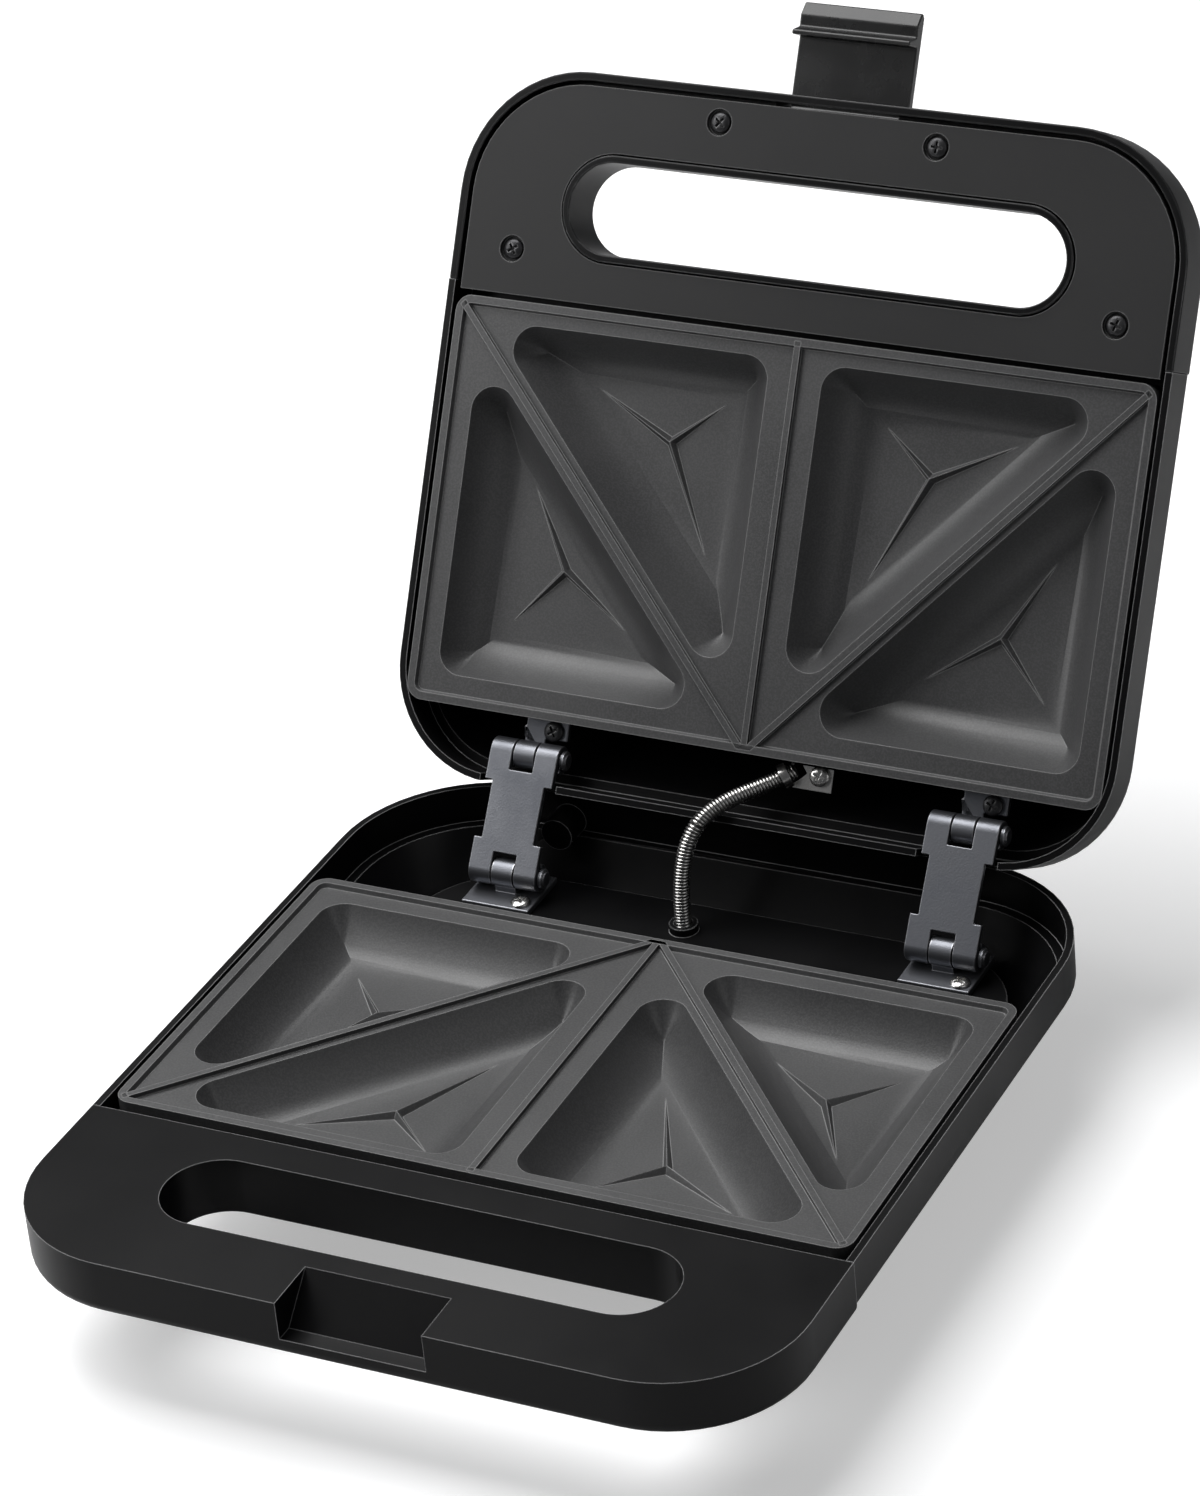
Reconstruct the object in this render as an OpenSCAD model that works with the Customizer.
// Sandwich toaster for two triangle-cut sandwiches, stored open.
// Both halves are drawn in one half frame: x to the right, y from the rear edge of the
// cooking plate towards the handle, z outwards from the face where the halves meet.

/* [Cooking plates] */
// Width of a cooking plate
plate_w = 221; // [200:1:240]
// Depth of a cooking plate, rear edge to handle side
plate_d = 121; // [105:1:135]
// Thickness of the cast deck and of the pocket floors
plate_t = 2.4; // [1.8:0.1:3.5]
// Height of the rim and ridges over the deck
lip_h = 1.4; // [0.8:0.1:2.5]
// Width of the plate's outer rim
lip_w = 2.4; // [1.6:0.1:4]
// Width of the dividing ridges
ridge_w = 2; // [1.6:0.1:4]
// Depth of the pockets under the deck
pocket_depth = 12.5; // [8:0.5:14]
// Margin between pockets and the plate's sides and rear edge
pocket_margin = 9; // [7:0.5:14]
// Margin between pockets and the plate's front edge
front_margin = 7; // [6:0.5:12]
// Margin between pockets and the middle ridge
middle_margin = 7.8; // [4:0.2:12]
// Margin between pockets and the diagonal ridges
ridge_margin = 2.6; // [2:0.1:8]
// Corner radius of the pockets, also the width of their sloping walls
pocket_r = 7; // [5:0.5:9]
// Part of the way to the pocket's corners that the raised star reaches
star_reach = 0.55; // [0.3:0.05:0.7]
// Height of the raised star
star_h = 1; // [0.5:0.1:2]

/* [Casing] */
// Overall width
body_w = 228; // [216:1:250]
// Plate's rear edge to the front of the handles
front_reach = 190; // [180:1:205]
// Plate's rear edge to the seam of the handle mouldings
seam_reach = 125; // [123:0.5:132]
// Plate's rear edge to the rear of the base
base_rear = 66; // [60:1:80]
// Plate's rear edge to the rear of the lid
lid_rear = 21; // [19:0.5:22]
// Height of the upright side band
band_h = 14; // [12.5:0.5:17]
// Depth of the base casing below the meeting face
base_depth = 36; // [33:0.5:45]
// Depth of the lid casing above the meeting face
lid_depth = 38; // [34:0.5:46]
// Wall thickness of the casings
wall = 2.2; // [1.6:0.1:3]
// How far the pan of a casing stands inside its band
pan_inset = 4; // [3:0.5:6]
// Width of the rounded slope of the base pan
base_slope = 20; // [12:1:24]
// Width of the rounded slope of the lid dome
lid_slope = 25; // [14:1:28]
// Corner radius of the handles in plan
handle_corner_r = 38; // [25:1:48]
// Rear corner radius of the base in plan
base_corner_r = 44; // [30:1:55]
// Rear corner radius of the lid in plan
lid_corner_r = 34; // [31:1:45]
// Gap left between the closed halves
mating_gap = 0.3; // [0.2:0.1:1]

/* [Handles] */
// Thickness of a handle
handle_t = 17; // [14.5:0.5:20]
// Centre of the grip slots from the plate's rear edge
slot_reach = 151; // [149:0.5:153]
// Length of the grip slot in the lid
lid_slot_l = 156; // [120:1:165]
// Width of the grip slot in the lid
lid_slot_w = 27; // [22:0.5:30]
// Length of the grip slot in the base
base_slot_l = 152; // [120:1:160]
// Width of the grip slot in the base
base_slot_w = 30; // [22:0.5:32]
// Wall of the tube round a grip slot
slot_wall = 2.2; // [1.6:0.1:3]
// Groove between the lid's handle plate and its rim
plate_groove = 1.3; // [0.6:0.1:2.5]
// Thickness of the handle plates
cover_t = 2.5; // [1.8:0.1:3.5]
// Width of the latch recess in the base handle
recess_w = 43; // [40:0.5:50]
// Depth of the latch recess at its top
recess_d = 17; // [12:0.5:20]
// Height of the latch recess
recess_h = 11.5; // [8:0.5:12.5]

/* [Latch] */
// Width of the latch tongue
latch_w = 37; // [28:0.5:38]
// Thickness of the latch tongue
latch_t = 3; // [2:0.1:4]
// Pivot of the latch behind the front face
latch_inset = 7; // [6:0.5:9]
// Height of the latch pivot over the meeting face
latch_lift = 7; // [6:0.5:8]
// Radius of the latch pin
latch_pin_r = 1.5; // [1:0.1:2]
// Reach of the hook under the base handle
hook_reach = 6; // [4:0.5:7]

/* [Hinge] */
// Distance of each hinge from the centre line
hinge_x = 70; // [50:1:78]
// Width of a hinge arm
arm_w = 22; // [18:1:28]
// Thickness of the hinge sheet metal
sheet_t = 2; // [1.5:0.1:2.5]
// Outer radius of the rolled knuckles
knuckle_r = 4.3; // [3.6:0.1:5]
// Radius of the hinge pins
pin_r = 2; // [1.5:0.1:2.5]
// Base pivot behind the plate's rear edge
base_pivot_back = 40; // [36:0.5:44]
// Base pivot below the meeting face
base_pivot_drop = 15; // [12:0.5:15]
// Lid pivot behind the plate's rear edge
lid_pivot_back = 11.5; // [10:0.5:12]
// Lid pivot over the lid's meeting face
lid_pivot_lift = 5.5; // [5:0.5:7]
// Swing of the hinge arms from open to closed
arm_swing = 90; // [80:1:90]
// Tilt of the lid on the arms from open to closed
lid_tilt = 28.8; // [15:0.2:29]

/* [Inside] */
// Radius of the heating element's sheath
element_r = 3.2; // [2.5:0.1:4]
// Distance between the two runs of the heating element
element_pitch = 56; // [40:1:64]
// Thickness of the heat shield sheet
shield_t = 0.6; // [0.4:0.1:1]
// Outer radius of the screw bosses
boss_r = 4; // [3.2:0.1:5]
// Radius of the screw shanks
screw_r = 1.5; // [1.2:0.1:1.8]
// Radius of the screw heads
head_r = 3; // [2.5:0.1:3.2]

/* [Feet and cord inlet] */
// Height of the feet
foot_h = 9; // [5:0.5:14]
// Radius of the feet
foot_r = 8; // [6:0.5:9]
// Bore radius of the cord gland
gland_r = 3.6; // [3:0.1:4.5]
// Length of the cord gland
gland_l = 10; // [8:0.5:14]

/* [Wire sleeve] */
// Mean radius of the sleeve's coil
coil_r = 2.1; // [1.8:0.1:3]
// Radius of the coiled wire
coil_wire_r = 0.45; // [0.3:0.05:0.6]
// Clear gap between neighbouring curls
coil_gap = 0.65; // [0.55:0.05:1]

/* [Hidden] */
$fn = 48;
eps = 0.01;

black = [0.09, 0.09, 0.095];
dark_grey = [0.2, 0.2, 0.21];
coating = [0.3, 0.3, 0.31];
gunmetal = [0.38, 0.39, 0.41];
bright_steel = [0.75, 0.75, 0.76];
zinc_sheet = [0.62, 0.63, 0.64];

x_half = body_w / 2;
edge = 0.6;
seat_gap = 0.1;
run_gap = 0.05;
mating_h = base_depth + foot_h;

// Screws by length, then small parts by place and size
long_screw = 8;
short_screw = 6;
cover_screw_x = 30;
cover_screw_back = 12;
thermostat_x = 28;
thermostat_r = 8;

// Shapes of a half's casing
ledge_n = band_h - 2;
handle_round = 3.5;
slope_steps = 5;
pan_front = seam_reach - pan_inset;
pan_front_r = 30;
cavity_front = pan_front - wall;
base_floor = base_depth - wall;
lid_floor = lid_depth - wall;

// Plate and what lies under it
plate_corner_r = 5;
deck_n = lip_h;
pocket_back = deck_n + pocket_depth + plate_t;
star_shift = [8, 3.5];
corner_steps = 7;
half_w = plate_w / 2;
diagonal = norm([half_w, plate_d]);
element_n = pocket_back + seat_gap + element_r;
element_mid = plate_d / 2;
shield_n = pocket_back + 2 * element_r + 2.2;
shield_x = x_half - pan_inset - lid_slope / 2 - wall - 0.5;
base_shield_rear = -1;
lid_shield_rear = 1.5;
shield_front = plate_d - 16;
shield_r = 20;
boss_x = 55;
plate_boss = [[0, plate_d / 9], [0, element_mid], [0, plate_d * 0.8]];

// Screw places of the handle plates
screw_outer = [x_half - 19, seam_reach + 11];
screw_inner = [34, front_reach - 10.3];
handle_screws = [
    [-screw_outer[0], screw_outer[1]], [screw_outer[0], screw_outer[1]],
    [-screw_inner[0], screw_inner[1]], [screw_inner[0], screw_inner[1]]
];
bore_n = 1.7;

// Latch in the lid's half frame, lying open along y
latch_v = front_reach - latch_inset;
latch_n = latch_lift;
latch_face = latch_n + latch_inset + 0.4;
hook_ledge = latch_v + latch_n + mating_gap + handle_t + 0.5;
latch_notch = latch_w + 2;
latch_ear = 4;

// Hinge in the closed position, y backwards and z up from the plate's rear edge
base_pivot = [0, base_pivot_back, -base_pivot_drop];
lid_pivot = [0, lid_pivot_back, lid_pivot_lift + mating_gap];
arm_line = lid_pivot - base_pivot;
arm_l = norm(arm_line);
arm_angle = atan2(arm_line[2], arm_line[1]);
mid_knuckle = 3.4;
side_knuckle = mid_knuckle + 0.4;
bracket_n = base_pivot_drop + knuckle_r + 1.2;
cover_n = bracket_n + sheet_t;
rear_cover_t = 2;
tab_x = 6;
tab_n = lid_pivot_lift + knuckle_r - sheet_t;
tab_v = -3.6;
bracket_screw = [7, 6.5];

// Rear well of the base
well_front = 2.5;
well_rear = base_rear - pan_inset - wall - base_slope * 0.4;
well_corner_r = base_corner_r - pan_inset - wall - base_slope * 0.4;
sleeve_x = -12;
sleeve_v = -38;
clip_x = 14;
clip_n = 8.5;
sleeve_stop = 3;
clip_screw_x = 8;
gland_x = -60;
gland_n = band_h * 0.6;
foot_x = x_half - pan_inset - base_slope - foot_r;
foot_front = pan_front - base_slope - foot_r;
foot_rear = -(base_rear - pan_inset - base_slope - foot_r);

// Lamps on the dome, near the handle
lamp_x = 12;
lamp_v = pan_front - lid_slope - 7;
lens_r = 3.4;

// Distances of the open lid, used to centre the object
function turn(p, deg) = [p[0], p[1] * cos(deg) - p[2] * sin(deg), p[1] * sin(deg) + p[2] * cos(deg)];
function about(p, pivot, deg) = pivot + turn(p - pivot, deg);
function open_lid(p) = about(about(p, lid_pivot, -lid_tilt), base_pivot, -arm_swing);
function lid_point(x, v, n) = open_lid([x, -v, n + mating_gap]);
tip_v = hook_ledge + 10;
rear_most = lid_point(0, tip_v - 1, latch_face + latch_t)[1];
y_shift = (front_reach - rear_most) / 2;

// ---------------------------------------------------------------- frames

module world() {
    translate([0, y_shift, mating_h]) children();
}

module in_base() {
    world() rotate([180, 0, 0]) children();
}

module turned(pivot, deg) {
    translate(pivot) rotate([deg, 0, 0]) translate(-pivot) children();
}

module on_arms() {
    world() turned(base_pivot, -arm_swing) children();
}

module in_lid() {
    on_arms() turned(lid_pivot, -lid_tilt) translate([0, 0, mating_gap]) mirror([0, 1, 0]) children();
}

module both_sides() {
    for (side = [-1, 1]) translate([side * hinge_x, 0, 0]) children();
}

// ---------------------------------------------------------------- shared shapes

// Slope of a casing's pan: from the band to the flat, a quarter of a sine
function slope(width, depth, start) = [
    for (i = [0 : slope_steps]) let (t = i / slope_steps)
        [width * t, start + (depth - start) * sin(90 * t)]
];

// Strip along a straight edge: the profile runs inwards from the edge
module edge_strip(length, depth_in, profile) {
    last = len(profile) - 1;
    outline = concat(
        [for (p = profile) [-p[0], p[1]]],
        [[-depth_in, profile[last][1]], [-depth_in, profile[0][1]]]
    );
    rotate([90, 0, 0]) linear_extrude(length, center = true) polygon(outline);
}

module round_corner(r, profile) {
    last = len(profile) - 1;
    outline = concat([for (p = profile) [r - p[0], p[1]]], [[0, profile[last][1]], [0, profile[0][1]]]);
    rotate_extrude(angle = 90) polygon(outline);
}

// Pan with an edge profile all round and its own corner radius at each end
module pan(half, rear, front, rear_r, front_r, profile) {
    last = len(profile) - 1;
    n0 = profile[0][1];
    n1 = profile[last][1];
    deep = max([for (p = profile) p[0]]) + 1;
    side_l = front - front_r - rear - rear_r;
    for (s = [0, 1]) mirror([s, 0, 0]) {
        translate([half - front_r, front - front_r, 0]) round_corner(front_r, profile);
        translate([half - rear_r, rear + rear_r, 0]) rotate([0, 0, -90]) round_corner(rear_r, profile);
        translate([half, rear + rear_r + side_l / 2, 0]) edge_strip(side_l, deep, profile);
    }
    translate([0, front, 0]) rotate([0, 0, 90]) edge_strip(2 * (half - front_r), deep, profile);
    translate([0, rear, 0]) rotate([0, 0, -90]) edge_strip(2 * (half - rear_r), deep, profile);
    block(-half + deep, half - deep, rear + rear_r, front - front_r, n0, n1);
    block(-half + front_r, half - front_r, front - front_r, front - deep, n0, n1);
    block(-half + rear_r, half - rear_r, rear + deep, rear + rear_r, n0, n1);
}

module block(x0, x1, y0, y1, z0, z1) {
    translate([x0, y0, z0]) cube([x1 - x0, y1 - y0, z1 - z0]);
}

module rounded_rect(w, y0, y1, r) {
    translate([-w / 2 + r, y0]) square([w - 2 * r, y1 - y0]);
    translate([-w / 2, y0 + r]) square([w, y1 - y0 - 2 * r]);
    for (x = [-1, 1], y = [y0 + r, y1 - r]) translate([x * (w / 2 - r), y]) circle(r);
}

// Outline of a half in plan, taken in by inset, from y0 to the front
module handle_outline(inset, y0) {
    r = handle_corner_r - inset;
    w = x_half - inset;
    y1 = front_reach - inset;
    difference() {
        union() {
            translate([-w, y0]) square([2 * w, y1 - r - y0]);
            translate([-w + r, y0]) square([2 * (w - r), y1 - y0]);
            for (x = [-1, 1]) translate([x * (w - r), y1 - r]) circle(r);
        }
        translate([-w - 1, y0 - 2 * r]) square([2 * w + 2, 2 * r]);
    }
}

module slot_outline(l, w) {
    translate([0, slot_reach]) {
        square([l - w, w], center = true);
        for (x = [-1, 1]) translate([x * (l - w) / 2, 0]) circle(w / 2);
    }
}

module rod(r, x0, x1) {
    translate([x0, 0, 0]) rotate([0, 90, 0]) cylinder(r = r, h = x1 - x0);
}

// Cross-head screw with its head's face at z = 0 and its shank towards +z
module screw(shank_l, head_h = 2) {
    difference() {
        union() {
            cylinder(r = head_r, h = head_h);
            translate([0, 0, head_h - eps]) cylinder(r = screw_r, h = shank_l + eps);
        }
        for (a = [0, 90]) rotate([0, 0, a]) translate([0, 0, 0.5]) cube([3.4, 0.8, 1.4], center = true);
    }
}

// ---------------------------------------------------------------- casings

// Casing of one half up to the seam, open at the meeting face
module casing(rear, corner_r, depth, slope_w) {
    far = seam_reach + 2 * handle_corner_r;
    band = [[edge, 0], [0, edge], [0, band_h - 1.4], [1.4, band_h]];
    band_hollow = [[wall, -1], [wall, ledge_n]];
    tub = concat([[0, ledge_n]], slope(slope_w, depth, band_h));
    hollow = concat([[0, ledge_n - 1]], slope(slope_w, depth - wall, band_h));
    difference() {
        union() {
            difference() {
                pan(x_half, -rear, far, corner_r, handle_corner_r, band);
                block(-x_half - 1, x_half + 1, seam_reach, far + 1, -1, band_h + 1);
            }
            pan(x_half - pan_inset, -rear + pan_inset, pan_front, corner_r - pan_inset, pan_front_r, tub);
        }
        pan(x_half, -rear, far, corner_r, handle_corner_r, band_hollow);
        pan(x_half - pan_inset - wall, -rear + pan_inset + wall, cavity_front,
            corner_r - pan_inset - wall, pan_front_r - wall, hollow);
    }
}

// Solid space inside a casing, halfway into its wall: bosses end in it
module casing_space(rear, corner_r, depth, slope_w) {
    inset = pan_inset + wall / 2;
    pan(x_half - inset, -rear + inset, pan_front - wall / 2, corner_r - inset, pan_front_r - wall / 2,
        concat([[0, 0]], slope(slope_w, depth - wall / 2, band_h)));
}

module shield_bosses() {
    for (x = [-boss_x, boss_x], v = [plate_d * 0.25, plate_d * 0.75])
        translate([x, v, shield_n + shield_t + seat_gap]) cylinder(r = boss_r, h = lid_depth);
}

module rear_bosses(r, from_n, to_n) {
    both_sides() for (s = [-1, 1])
        translate([s * bracket_screw[0], -base_pivot_back + s * bracket_screw[1], from_n])
            cylinder(r = r, h = to_n - from_n);
}

module rear_cover_posts(r, from_n, to_n) {
    for (x = [-1, 1]) translate([x * cover_screw_x, -well_front - cover_screw_back, from_n])
        cylinder(r = r, h = to_n - from_n);
}

module foot_places() {
    for (x = [-foot_x, foot_x], v = [foot_rear, foot_front]) translate([x, v, base_depth]) children();
}

module base_shell() {
    color(black) in_base() difference() {
        union() {
            casing(base_rear, base_corner_r, base_depth, base_slope);
            intersection() {
                union() {
                    shield_bosses();
                    rear_bosses(boss_r - 0.5, cover_n + rear_cover_t, base_depth);
                    rear_cover_posts(boss_r, cover_n + rear_cover_t, base_depth);
                }
                casing_space(base_rear, base_corner_r, base_depth, base_slope);
            }
        }
        rear_bosses(screw_r, cover_n, base_floor);
        rear_cover_posts(screw_r, cover_n, base_floor);
        translate([gland_x, -base_rear - 1, gland_n]) rotate([-90, 0, 0])
            cylinder(r = gland_r + 1.4, h = gland_l + 2);
        foot_places() translate([0, 0, -wall - 1]) cylinder(r = screw_r, h = wall + 2);
    }
}

module lid_shell() {
    color(black) in_lid() difference() {
        union() {
            casing(lid_rear, lid_corner_r, lid_depth, lid_slope);
            intersection() {
                union() {
                    shield_bosses();
                    both_sides() translate([tab_x, tab_v, tab_n + sheet_t])
                        cylinder(r = boss_r - 0.5, h = lid_depth);
                    translate([clip_x + clip_screw_x, tab_v, clip_n])
                        cylinder(r = boss_r - 0.8, h = lid_depth);
                }
                casing_space(lid_rear, lid_corner_r, lid_depth, lid_slope);
            }
        }
        both_sides() {
            block(-arm_w / 2 - 1.5, arm_w / 2 + 1.5, -lid_rear - 1, -lid_rear + wall + pan_inset, -1,
                  lid_pivot_lift + knuckle_r + 1.2);
            translate([tab_x, tab_v, tab_n]) cylinder(r = screw_r, h = 9);
        }
        translate([clip_x + clip_screw_x, tab_v, clip_n - 1]) cylinder(r = screw_r, h = 8);
        for (x = [-lamp_x, lamp_x]) translate([x, lamp_v, lid_floor - 1])
            cylinder(r = lens_r + seat_gap, h = wall + 2);
    }
}

// ---------------------------------------------------------------- handles

handle_profile = [
    [edge, 0],
    [0, edge],
    [0, handle_t - handle_round],
    [1, handle_t - 1],
    [handle_round, handle_t]
];

module handle_block() {
    rear = seam_reach - 2 * handle_corner_r;
    difference() {
        pan(x_half, rear, front_reach, handle_corner_r, handle_corner_r, handle_profile);
        block(-x_half - 1, x_half + 1, rear - 1, seam_reach, -1, handle_t + 1);
    }
}

module recess_cut() {
    foot_v = front_reach - recess_d * 0.3;
    translate([-recess_w / 2, 0, 0]) rotate([90, 0, 90]) linear_extrude(recess_w)
        polygon([[front_reach - recess_d, -1], [front_reach - recess_d, 0], [foot_v, recess_h],
                 [front_reach + 1, recess_h], [front_reach + 1, -1]]);
}

module base_handle() {
    skin = cover_t;
    color(black) in_base() difference() {
        union() {
            difference() {
                handle_block();
                translate([0, 0, skin]) linear_extrude(handle_t)
                    difference() {
                        handle_outline(wall + 0.3, seam_reach + wall);
                        slot_outline(base_slot_l + 2 * slot_wall, base_slot_w + 2 * slot_wall);
                    }
            }
            block(-recess_w / 2 - wall, recess_w / 2 + wall, front_reach - recess_d - wall, front_reach - 1,
                  1, handle_t - cover_t);
            for (p = handle_screws) translate([p[0], p[1], 1])
                cylinder(r = boss_r, h = handle_t - cover_t - 1);
        }
        translate([0, 0, -1]) linear_extrude(handle_t + 2) slot_outline(base_slot_l, base_slot_w);
        recess_cut();
        for (p = handle_screws) translate([p[0], p[1], skin + 1.5]) cylinder(r = screw_r, h = handle_t);
    }
}

// Handle plate seated in the open side of a handle, with counterbored screw holes
module handle_plate(inset, y0, slot_l, slot_w) {
    difference() {
        linear_extrude(cover_t) difference() {
            handle_outline(inset, y0);
            slot_outline(slot_l, slot_w);
        }
        for (p = handle_screws) translate([p[0], p[1], -1]) {
            cylinder(r = screw_r + 0.2, h = cover_t + 2);
            cylinder(r = head_r + 0.8, h = 1 + bore_n);
        }
    }
}

module base_handle_cover() {
    ring = 2 * (slot_wall + seat_gap);
    color(black) in_base() translate([0, 0, handle_t]) mirror([0, 0, 1])
        handle_plate(
            wall + 0.3 + seat_gap, seam_reach + wall + seat_gap,
            base_slot_l + ring, base_slot_w + ring
        );
}

module base_handle_screws() {
    color(gunmetal) in_base() for (p = handle_screws)
        translate([p[0], p[1], handle_t - bore_n + 1.5]) mirror([0, 0, 1]) screw(long_screw, 1.5);
}

module lid_handle() {
    skin = cover_t;
    ear_x = latch_notch / 2;
    pocket = handle_t - skin;
    color(black) in_lid() difference() {
        union() {
            difference() {
                handle_block();
                translate([0, 0, -1]) linear_extrude(pocket + 1) difference() {
                    handle_outline(wall + 0.3, seam_reach + wall);
                    slot_outline(lid_slot_l + 2 * slot_wall, lid_slot_w + 2 * slot_wall);
                }
                block(-x_half + wall + 0.3, x_half - wall - 0.3, seam_reach - 1, seam_reach + wall + 1,
                      -1, edge + cover_t + seat_gap);
            }
            for (p = handle_screws) translate([p[0], p[1], edge + cover_t + seat_gap])
                cylinder(r = boss_r, h = pocket - edge - cover_t);
            for (x = [-1, 1]) translate([x * (ear_x + latch_ear / 2), 0, 0])
                block(
                    -latch_ear / 2, latch_ear / 2, latch_v - 4, front_reach - 1,
                    edge + cover_t + 0.5, pocket + 1
                );
        }
        translate([0, 0, -1]) linear_extrude(handle_t + 2) slot_outline(lid_slot_l, lid_slot_w);
        block(-ear_x, ear_x, latch_v - 4.5, front_reach + 1, edge + cover_t + seat_gap, handle_t + 1);
        translate([0, latch_v, latch_n]) rod(latch_pin_r, -ear_x - latch_ear - 1, ear_x + latch_ear + 1);
        for (p = handle_screws) translate([p[0], p[1], edge]) cylinder(r = screw_r, h = pocket - 2);
    }
}

module lid_handle_plate() {
    ring = 2 * (slot_wall + 0.4);
    color(dark_grey) in_lid() translate([0, 0, edge])
        handle_plate(wall + 0.3 + plate_groove, seam_reach, lid_slot_l + ring, lid_slot_w + ring);
}

module lid_handle_screws() {
    color(gunmetal) in_lid() for (p = handle_screws)
        translate([p[0], p[1], edge + bore_n - 1.5]) screw(long_screw, 1.5);
}

// ---------------------------------------------------------------- cooking plates

keep = ridge_w / 2 + ridge_margin + pocket_r;
side_near = ridge_w / 2 + middle_margin + pocket_r;
near = pocket_margin + pocket_r;
far_x = half_w - near;
far_v = plate_d - front_margin - pocket_r;

// Centres of the rounded corners of the pocket beside the middle ridge, square corner first
inner_pocket = [
    [side_near, far_v],
    [side_near, (keep * diagonal + plate_d * side_near) / half_w],
    [(half_w * far_v - keep * diagonal) / plate_d, far_v]
];

// Centres of the rounded corners of the pocket beside the plate's outer edge
outer_pocket = [
    [far_x, near],
    [far_x, (plate_d * far_x - keep * diagonal) / half_w],
    [(keep * diagonal + half_w * near) / plate_d, near]
];

function angle_of(v) = atan2(v[1], v[0]);

// Outline of a triangle with rounded corners
function soft_outline(corners, r) = [
    for (i = [0 : 2], k = [0 : corner_steps]) let (
        start = angle_of(corners[i] - corners[(i + 2) % 3]) - 90,
        turned_by = (angle_of(corners[(i + 1) % 3] - corners[i]) - 90 - start + 720) % 360,
        at = start + turned_by * k / corner_steps)
        corners[i] + r * [cos(at), sin(at)]
];

// Loft of such outlines, its edge profile given as [distance out, depth] points
module soft_triangle(corners, profile) {
    ring = 3 * (corner_steps + 1);
    last = len(profile) - 1;
    points = [for (p = profile, q = soft_outline(corners, p[0])) [q[0], q[1], p[1]]];
    sides = [for (level = [0 : last - 1], k = [0 : ring - 1]) let (
            here = level * ring + k, next = level * ring + (k + 1) % ring)
        [here, here + ring, next + ring, next]];
    near_cap = [for (k = [0 : ring - 1]) k];
    far_cap = [for (k = [ring - 1 : -1 : 0]) last * ring + k];
    polyhedron(points, concat(sides, [near_cap, far_cap]));
}

// Wall of a pocket: rounded shoulder, slope and rounded foot
pocket_wall = [
    [pocket_r, deck_n - 0.5], [pocket_r, deck_n], [pocket_r - 0.6, deck_n + 1.2],
    [pocket_r * 0.45, deck_n + pocket_depth * 0.72], [pocket_r * 0.25, deck_n + pocket_depth * 0.93],
    [0.8, deck_n + pocket_depth]
];
pocket_skin = [
    [pocket_r + 1.4, deck_n + plate_t / 2],
    [pocket_r + 1.4, pocket_back - 3],
    [pocket_r - 1.6, pocket_back]
];

// Raised three-armed star on a pocket floor
module star(corners, side) {
    middle = (corners[0] + corners[1] + corners[2]) / 3 + [side * star_shift[0], star_shift[1]];
    points = [for (i = [0 : 5]) let (
        c = corners[floor(i / 2)] - middle,
        d = corners[(floor(i / 2) + 1) % 3] - middle)
        middle + (i % 2 == 0 ? c * star_reach : unit(unit(c) + unit(d)) * 1.6)];
    translate([0, 0, deck_n + pocket_depth - star_h]) linear_extrude(star_h + 0.5) polygon(points);
}

function unit(v) = v / norm(v);

module pockets() {
    for (s = [0, 1]) mirror([s, 0, 0]) {
        soft_triangle(inner_pocket, pocket_wall);
        soft_triangle(outer_pocket, pocket_wall);
    }
}

module ridges() {
    block(-ridge_w / 2, ridge_w / 2, 0.5, plate_d - 0.5, 0, deck_n + 0.5);
    for (s = [0, 1]) mirror([s, 0, 0]) intersection() {
        rotate([0, 0, atan2(plate_d, half_w)]) block(0, diagonal, -ridge_w / 2, ridge_w / 2, 0, deck_n + 0.5);
        block(0, half_w - 0.5, 0.5, plate_d - 0.5, -1, deck_n + 1);
    }
}

module cooking_plate() {
    difference() {
        union() {
            translate([0, 0, deck_n]) linear_extrude(plate_t)
                rounded_rect(plate_w, 0, plate_d, plate_corner_r);
            linear_extrude(ledge_n - seat_gap) difference() {
                rounded_rect(plate_w, 0, plate_d, plate_corner_r);
                rounded_rect(plate_w - 2 * lip_w, lip_w, plate_d - lip_w, plate_corner_r - lip_w / 2);
            }
            ridges();
            for (s = [0, 1]) mirror([s, 0, 0]) {
                soft_triangle(inner_pocket, pocket_skin);
                soft_triangle(outer_pocket, pocket_skin);
            }
            for (p = plate_boss) translate([p[0], p[1], deck_n + 1])
                cylinder(r = boss_r, h = shield_n - deck_n - 1 - seat_gap);
        }
        pockets();
        for (p = plate_boss) translate([p[0], p[1], shield_n - 8]) cylinder(r = screw_r, h = 9);
    }
    for (s = [0, 1]) mirror([s, 0, 0]) {
        star(inner_pocket, 1);
        star(outer_pocket, -1);
    }
}

module base_plate() {
    color(coating) in_base() cooking_plate();
}

module lid_plate() {
    color(coating) in_lid() cooking_plate();
}

// ---------------------------------------------------------------- heating parts

// Hairpin of sheathed element lying on the pocket backs
module element() {
    run = 76;
    bend = element_pitch / 2;
    translate([0, element_mid, element_n]) {
        for (v = [-bend, bend]) translate([0, v, 0]) rod(element_r, -run, run - bend);
        translate([run - bend, 0, 0]) rotate([0, 0, -90]) rotate_extrude(angle = 180)
            translate([bend, 0]) circle(element_r);
        for (v = [-bend, bend]) translate([0, v, 0]) rod(1.2, -run - 8, -run + 1);
    }
}

module base_element() {
    color(zinc_sheet) in_base() element();
}

module lid_element() {
    color(zinc_sheet) in_lid() element();
}

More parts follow.
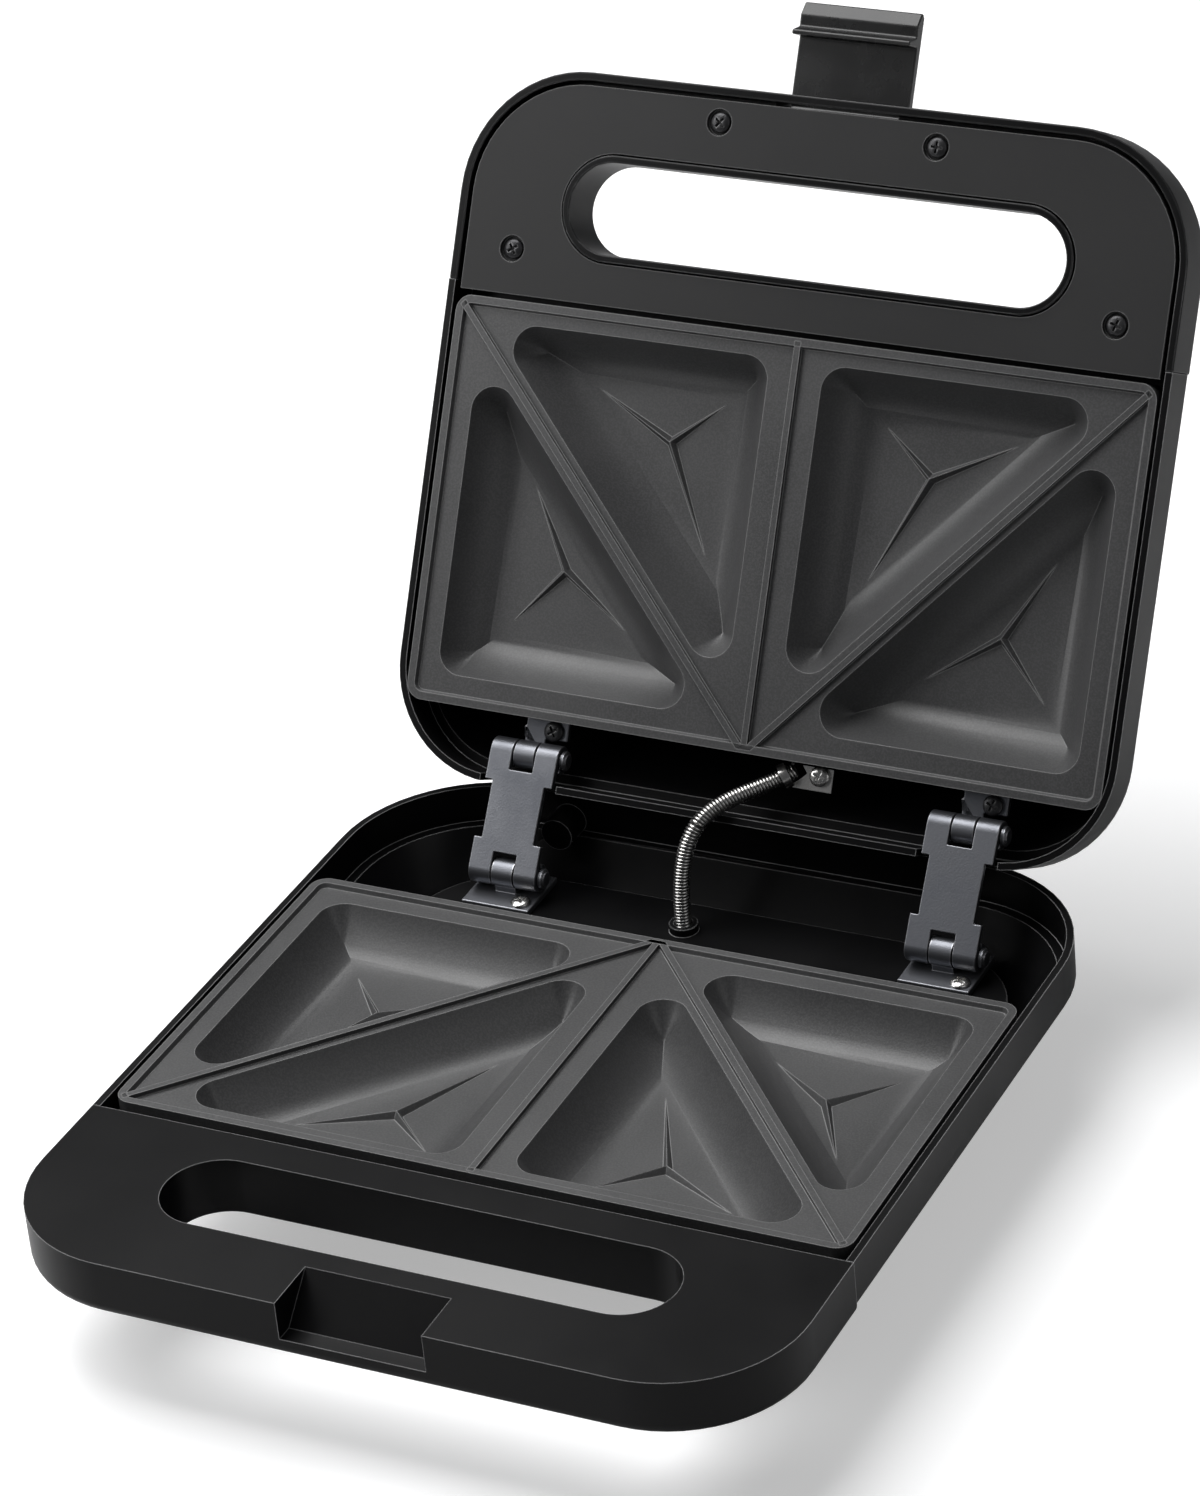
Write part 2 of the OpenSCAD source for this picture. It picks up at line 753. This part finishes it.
// Snap-disc thermostat on the back of the plate
module thermostat() {
    translate([thermostat_x, element_mid, pocket_back + seat_gap]) {
        cylinder(r = thermostat_r, h = 4.5);
        translate([0, 0, 4]) cylinder(r = thermostat_r - 2, h = 3);
        for (x = [-4.5, 4.5]) block(x - 0.4, x + 0.4, -2, 10, 5, 6.2);
    }
}

module base_thermostat() {
    color(dark_grey) in_base() thermostat();
}

module lid_thermostat() {
    color(dark_grey) in_lid() thermostat();
}

module thermal_fuse() {
    color(bright_steel) in_base() translate([0, element_mid, pocket_back + seat_gap + 2.2]) {
        rod(2.2, -44, -24);
        rod(0.6, -52, -16);
    }
}

// Sheet tray that keeps the heat off the casing
module heat_shield(rear) {
    side_n = pocket_back + 1.5;
    difference() {
        translate([0, 0, side_n]) linear_extrude(shield_n + shield_t - side_n)
            rounded_rect(2 * shield_x, rear, shield_front, shield_r);
        translate([0, 0, side_n - 1]) linear_extrude(shield_n - side_n + 1)
            rounded_rect(
                2 * (shield_x - shield_t), rear + shield_t,
                shield_front - shield_t, shield_r - shield_t
            );
        for (p = plate_boss) translate([p[0], p[1], shield_n - 1]) cylinder(r = screw_r + 0.2, h = 3);
    }
}

// The base's tray also has a wall that closes the gap behind the plate
module base_heat_shield() {
    wall_x = shield_x - shield_r;
    color(zinc_sheet) in_base() {
        heat_shield(base_shield_rear);
        block(
            -wall_x, wall_x, base_shield_rear - shield_t, base_shield_rear,
            ledge_n / 3, shield_n + shield_t
        );
    }
}

module lid_heat_shield() {
    color(zinc_sheet) in_lid() heat_shield(lid_shield_rear);
}

module plate_screws() {
    for (p = plate_boss) translate([p[0], p[1], shield_n + shield_t + 2]) mirror([0, 0, 1]) screw(short_screw);
}

module base_plate_screws() {
    color(bright_steel) in_base() plate_screws();
}

module lid_plate_screws() {
    color(bright_steel) in_lid() plate_screws();
}

// ---------------------------------------------------------------- rear well of the base

module rear_cover() {
    color(black) in_base() difference() {
        union() {
            translate([0, 0, cover_n]) linear_extrude(rear_cover_t) difference() {
                rounded_rect(2 * (shield_x - 1), -well_rear, base_rear, well_corner_r);
                translate([-shield_x, -well_front]) square([2 * shield_x, 2 * base_rear]);
            }
            translate([sleeve_x, sleeve_v, cover_n - 2.5]) cylinder(r = coil_r + coil_wire_r + 1.8, h = 3);
        }
        translate([sleeve_x, sleeve_v, cover_n - 3.5])
            cylinder(r = coil_r + coil_wire_r + 0.2, h = rear_cover_t + 5);
        rear_bosses(screw_r + 0.2, cover_n - 1, cover_n + rear_cover_t + 1);
        rear_cover_posts(screw_r + 0.2, cover_n - 1, cover_n + rear_cover_t + 1);
    }
}

module rear_cover_screws() {
    color(gunmetal) in_base() for (x = [-1, 1])
        translate([x * cover_screw_x, -well_front - cover_screw_back, cover_n - 2]) screw(long_screw);
}

module terminal_block() {
    size = [34, 14, base_floor - cover_n - rear_cover_t - 0.2];
    color([0.9, 0.9, 0.86]) in_base() translate([20, -32, base_floor - size[2] - 0.1]) difference() {
        block(-size[0] / 2, size[0] / 2, -size[1] / 2, size[1] / 2, 0, size[2]);
        for (x = [-11, 0, 11]) {
            translate([x, -3, -1]) cylinder(r = 1.8, h = 4);
            translate([x, 3, -1]) cylinder(r = 1.8, h = 4);
        }
    }
}

// Bush in the rear wall that the mains lead would pass through
module cord_gland() {
    out = 2;
    color(black) in_base() translate([gland_x, -base_rear - out, gland_n]) rotate([-90, 0, 0]) difference() {
        union() {
            cylinder(r = gland_r + 2.4, h = out - seat_gap);
            cylinder(r = gland_r + 1.3, h = gland_l);
        }
        translate([0, 0, -1]) cylinder(r = gland_r, h = gland_l + 2);
    }
}

module feet() {
    color([0.05, 0.05, 0.05]) in_base() foot_places() difference() {
        rotate_extrude() polygon([
            [0, 0], [foot_r, 0], [foot_r, foot_h * 0.5], [foot_r - 0.5, foot_h - 1.2],
            [foot_r - 1.7, foot_h], [0, foot_h]
        ]);
        translate([0, 0, foot_h - 3]) cylinder(r = head_r + 0.5, h = 4);
    }
}

// ---------------------------------------------------------------- hinges

// Base bracket: foot on the rear cover, web and middle knuckle
module hinge_bracket() {
    in_base() difference() {
        union() {
            block(-arm_w / 2, arm_w / 2, -base_pivot_back - 10, -base_pivot_back + 10, bracket_n, cover_n);
            block(
                -mid_knuckle, mid_knuckle, -base_pivot_back - 2.5, -base_pivot_back + 2.5,
                base_pivot_drop, bracket_n + 1
            );
            translate([0, -base_pivot_back, base_pivot_drop]) rod(knuckle_r, -mid_knuckle, mid_knuckle);
        }
        translate([0, -base_pivot_back, base_pivot_drop]) rod(pin_r, -arm_w, arm_w);
        for (s = [-1, 1])
            translate([s * bracket_screw[0], -base_pivot_back + s * bracket_screw[1], bracket_n - 1])
            cylinder(r = screw_r + 0.2, h = sheet_t + 2);
    }
}

module hinge_bracket_left() {
    color(gunmetal) translate([-hinge_x, 0, 0]) hinge_bracket();
}

module hinge_bracket_right() {
    color(gunmetal) translate([hinge_x, 0, 0]) hinge_bracket();
}

module hinge_bracket_screws() {
    color(bright_steel) in_base() both_sides() for (s = [-1, 1])
        translate([s * bracket_screw[0], -base_pivot_back + s * bracket_screw[1], bracket_n - 1.4])
            screw(long_screw, 1.4);
}

// Arm between the pivots: two rolled knuckles at each end of one bent leaf
module hinge_arm() {
    relief = knuckle_r + 1;
    translate(base_pivot) rotate([arm_angle, 0, 0]) difference() {
        union() {
            for (y = [0, arm_l]) translate([0, y, 0]) for (s = [0, 1]) mirror([s, 0, 0])
                rod(knuckle_r, side_knuckle, arm_w / 2);
            block(-arm_w / 2, arm_w / 2, 0, arm_l, knuckle_r - sheet_t, knuckle_r);
        }
        for (y = [0, arm_l]) {
            block(-side_knuckle, side_knuckle, y - relief, y + relief, -relief, relief);
            translate([0, y, 0]) rod(pin_r + run_gap, -arm_w, arm_w);
        }
    }
}

module hinge_arm_left() {
    color(gunmetal) on_arms() translate([-hinge_x, 0, 0]) hinge_arm();
}

module hinge_arm_right() {
    color(gunmetal) on_arms() translate([hinge_x, 0, 0]) hinge_arm();
}

// Pin with a domed button at its right end
module pin(x) {
    end = arm_w / 2 + 0.3;
    translate([x, 0, 0]) {
        rod(pin_r, -end, end + eps);
        rod(pin_r + 1, end, end + 1.2);
        rod(pin_r + 0.3, end + 1.2 - eps, end + 1.8);
    }
}

module base_pin_left() {
    color(bright_steel) world() translate(base_pivot) pin(-hinge_x);
}

module base_pin_right() {
    color(bright_steel) world() translate(base_pivot) pin(hinge_x);
}

module lid_pin_left() {
    color(bright_steel) on_arms() translate(lid_pivot) pin(-hinge_x);
}

module lid_pin_right() {
    color(bright_steel) on_arms() translate(lid_pivot) pin(hinge_x);
}

// Lid bracket: middle knuckle and a tab screwed to the lid
module lid_bracket() {
    in_lid() difference() {
        union() {
            translate([0, -lid_pivot_back, lid_pivot_lift]) rod(knuckle_r, -mid_knuckle, mid_knuckle);
            block(-mid_knuckle, mid_knuckle, -lid_pivot_back, tab_v, tab_n, tab_n + sheet_t);
            block(-mid_knuckle, tab_x + 4.5, tab_v - 2.6, tab_v + 3.2, tab_n, tab_n + sheet_t);
        }
        translate([0, -lid_pivot_back, lid_pivot_lift]) rod(pin_r + run_gap, -arm_w, arm_w);
        translate([tab_x, tab_v, tab_n - 1]) cylinder(r = screw_r + 0.2, h = sheet_t + 2);
    }
}

module lid_bracket_left() {
    color(gunmetal) translate([-hinge_x, 0, 0]) lid_bracket();
}

module lid_bracket_right() {
    color(gunmetal) translate([hinge_x, 0, 0]) lid_bracket();
}

module lid_bracket_screws() {
    color(bright_steel) in_lid() both_sides() translate([tab_x, tab_v, tab_n - 1.6]) screw(long_screw, 1.6);
}

// ---------------------------------------------------------------- lamps

module lens(x, tint) {
    color(tint) in_lid() translate([x, lamp_v, lid_floor]) {
        cylinder(r = lens_r, h = wall + 0.4);
        translate([0, 0, -0.8]) cylinder(r = lens_r + 1, h = 0.8);
    }
}

module lamp(x) {
    color([0.85, 0.8, 0.75]) in_lid() translate([x, lamp_v, lid_floor - 0.9])
        mirror([0, 0, 1]) cylinder(r = 2.6, h = lid_floor - shield_n - shield_t - 1.2);
}

module lens_power() {
    lens(-lamp_x, [0.75, 0.08, 0.06, 0.7]);
}

module lens_ready() {
    lens(lamp_x, [0.1, 0.6, 0.2, 0.7]);
}

module lamp_power() {
    lamp(-lamp_x);
}

module lamp_ready() {
    lamp(lamp_x);
}

// ---------------------------------------------------------------- latch

// Tongue lying open along y, its hook towards the meeting face
module latch() {
    root_v = front_reach - 3;
    color(black) in_lid() difference() {
        union() {
            translate([0, latch_v, latch_n]) rod(3.2, -latch_w / 2, latch_w / 2);
            translate([-latch_w / 2, 0, 0]) rotate([90, 0, 90]) linear_extrude(latch_w) polygon([
                [latch_v - 3.2, latch_n], [latch_v - 3.2, latch_face + latch_t - 2.5],
                [latch_v - 0.7, latch_face + latch_t], [tip_v - 1, latch_face + latch_t],
                [tip_v, latch_face + latch_t - 1], [tip_v, latch_face + 1],
                [hook_ledge + 5, latch_face - hook_reach * 0.35], [hook_ledge + 1.2, latch_face - hook_reach],
                [hook_ledge, latch_face - hook_reach], [hook_ledge, latch_face], [root_v, latch_face],
                [latch_v, latch_n]
            ]);
        }
        translate([0, latch_v, latch_n]) rod(latch_pin_r + run_gap, -latch_w, latch_w);
    }
}

module latch_pin() {
    end = latch_notch / 2 + latch_ear;
    color(bright_steel) in_lid() translate([0, latch_v, latch_n]) rod(latch_pin_r, -end, end);
}

// ---------------------------------------------------------------- wire sleeve

// Route of the sleeve from the rear cover into the lid, in the meeting-face frame
lid_end = lid_point(clip_x, -sleeve_stop, clip_n);
base_end = [sleeve_x, -sleeve_v, -cover_n + 0.2];
route = [base_end, base_end + [-2, 2, 44], lid_end - [18, 12.5, 9], lid_end];
function bezier(t) =
    pow(1 - t, 3) * route[0] + 3 * pow(1 - t, 2) * t * route[1]
    + 3 * (1 - t) * t * t * route[2] + t * t * t * route[3];
function bezier_way(t) = unit(
    pow(1 - t, 2) * (route[1] - route[0])
    + 2 * (1 - t) * t * (route[2] - route[1]) + t * t * (route[3] - route[2]));
samples = 60;
route_l = [
    for (i = 0, s = 0; i <= samples;
        s = s + norm(bezier((i + 1) / samples) - bezier(i / samples)), i = i + 1) s
];
route_total = route_l[samples];
function at_length(s) = let (
        c = [for (i = [0 : samples - 1]) if (route_l[i + 1] >= s) i],
        i = len(c) > 0 ? c[0] : samples - 1)
    min(1, (i + (s - route_l[i]) / (route_l[i + 1] - route_l[i])) / samples);

coil_pitch = 2 * coil_wire_r + coil_gap;
coil_lead = 2 * coil_wire_r;
curls = floor((route_total - 2 * coil_lead) / coil_pitch);
curl_rings = 8;
wire_sides = 6;
coil_steps = curls * curl_rings;

// Axes across the route: one sideways, one square to both
function side_axis(way) = unit(cross(way, [0, 1, 0.3]));

function coil_point(i) = let (
        s = coil_lead + (route_total - 2 * coil_lead) * i / coil_steps,
        t = at_length(s), way = bezier_way(t),
        a = side_axis(way), b = cross(way, a), turn_deg = 360 * i / curl_rings)
    bezier(t) + coil_r * (cos(turn_deg) * a + sin(turn_deg) * b);

// Centre line of the wire, with a straight end along the route at each side
function lead_point(p, way) = p + coil_lead * way;
coil_line = concat(
    [lead_point(coil_point(0), -bezier_way(0))],
    [for (i = [0 : coil_steps]) coil_point(i)],
    [lead_point(coil_point(coil_steps), bezier_way(1))]
);

// Tube of n sides swept along a line of points
function ring_at(line, i, r, sides) = let (
        last = len(line) - 1,
        way = unit(line[min(i + 1, last)] - line[max(i - 1, 0)]),
        up = abs(way[2]) > 0.9 ? [1, 0, 0] : [0, 0, 1],
        a = unit(cross(way, up)), b = cross(way, a))
    [for (k = [0 : sides - 1]) line[i] + r * (cos(360 * k / sides) * a + sin(360 * k / sides) * b)];

module tube(line, r, sides) {
    rings = len(line);
    points = [for (i = [0 : rings - 1]) each ring_at(line, i, r, sides)];
    skin = [for (i = [0 : rings - 2], k = [0 : sides - 1], half = [0, 1]) let (
            a = i * sides + k, b = i * sides + (k + 1) % sides, c = b + sides, d = a + sides)
        half == 0 ? [a, c, b] : [a, d, c]];
    start = [for (k = [1 : sides - 2]) [0, k, k + 1]];
    end = [for (k = [1 : sides - 2])
        [(rings - 1) * sides, (rings - 1) * sides + k + 1, (rings - 1) * sides + k]];
    polyhedron(points, concat(skin, start, end));
}

// Least clear gap between wire and wire, over points at least three quarters of a curl apart
least_gap = min([for (i = [0 : 2 : coil_steps - 12], j = [i + 6 : i + 11])
    norm(coil_point(i) - coil_point(j))])
    - 2 * coil_wire_r;
echo(curls = curls, sleeve_length = route_total, least_gap = least_gap);

module wire_sleeve() {
    color(bright_steel) world() tube(coil_line, coil_wire_r, wire_sides);
}

module sleeve_wires() {
    core = 20;
    color(dark_grey) world()
        tube([for (i = [0 : core]) bezier(at_length(route_total * i / core))], coil_r - coil_wire_r - 0.3, 8);
}

// Ring round the sleeve's end, square to its route
module clip_ring(r, l) {
    way = unit(route[3] - route[2]);
    world() translate(lid_end - 3.5 * way) rotate([0, acos(way[2]), atan2(way[1], way[0])])
        translate([0, 0, -l / 2]) cylinder(r = r, h = l);
}

// Clip that holds the sleeve's end in the lid, with an ear for its screw
module sleeve_clip() {
    inner = coil_r + coil_wire_r + 0.5;
    color(bright_steel) difference() {
        union() {
            clip_ring(inner + 0.8, 2.5);
            in_lid() block(
                clip_x - 1.2, clip_x + clip_screw_x + 4, tab_v - 4.4, tab_v + 2.4,
                clip_n - 0.8, clip_n
            );
        }
        clip_ring(inner, 12);
        in_lid() translate([clip_x + clip_screw_x, tab_v, clip_n - 2]) cylinder(r = screw_r + 0.2, h = 3);
    }
}

module sleeve_clip_screw() {
    color(bright_steel) in_lid() translate([clip_x + clip_screw_x, tab_v, clip_n - 0.8 - 1.6])
        screw(short_screw, 1.6);
}

base_shell();
base_handle();
base_handle_cover();
base_handle_screws();
base_plate();
base_element();
base_thermostat();
base_heat_shield();
base_plate_screws();
rear_cover();
rear_cover_screws();
terminal_block();
thermal_fuse();
cord_gland();
feet();
hinge_bracket_left();
hinge_bracket_right();
hinge_bracket_screws();
base_pin_left();
base_pin_right();
hinge_arm_left();
hinge_arm_right();
lid_pin_left();
lid_pin_right();
lid_bracket_left();
lid_bracket_right();
lid_bracket_screws();
lid_shell();
lid_handle();
lid_handle_plate();
lid_handle_screws();
lid_plate();
lid_element();
lid_thermostat();
lid_heat_shield();
lid_plate_screws();
lens_power();
lens_ready();
lamp_power();
lamp_ready();
latch();
latch_pin();
sleeve_clip();
sleeve_clip_screw();
wire_sleeve();
sleeve_wires();
